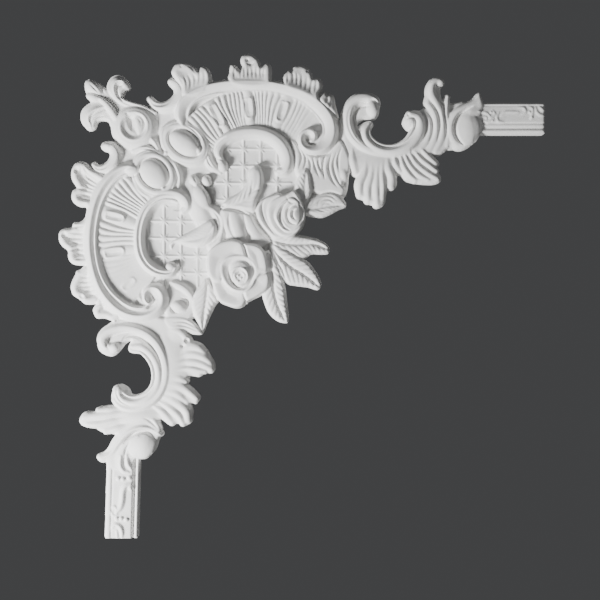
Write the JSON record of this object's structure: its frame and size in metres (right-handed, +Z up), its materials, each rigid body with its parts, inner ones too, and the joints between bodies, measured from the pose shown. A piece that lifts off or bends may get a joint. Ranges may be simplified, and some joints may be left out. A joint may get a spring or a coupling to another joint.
{
  "type": "corner applique",
  "caption": "Flat-backed rococo corner ornament for a wall: scrolls, shells, roses and leaves in relief, with a short moulding stub on each arm.",
  "frame": {"origin": "on the back face, where the centre lines of the two mouldings cross", "axes": "+Y into the wall, the relief rises towards -Y; +X along the upper moulding; +Z up, the lower moulding runs down -Z"},
  "size_m": [0.487, 0.027, 0.4852],
  "materials": {
    "white_plaster": "matt cast gypsum plaster with fine air pits"
  },
  "bodies": {
    "root": {"corner_applique": "white_plaster"}
  },
  "joints": []
}
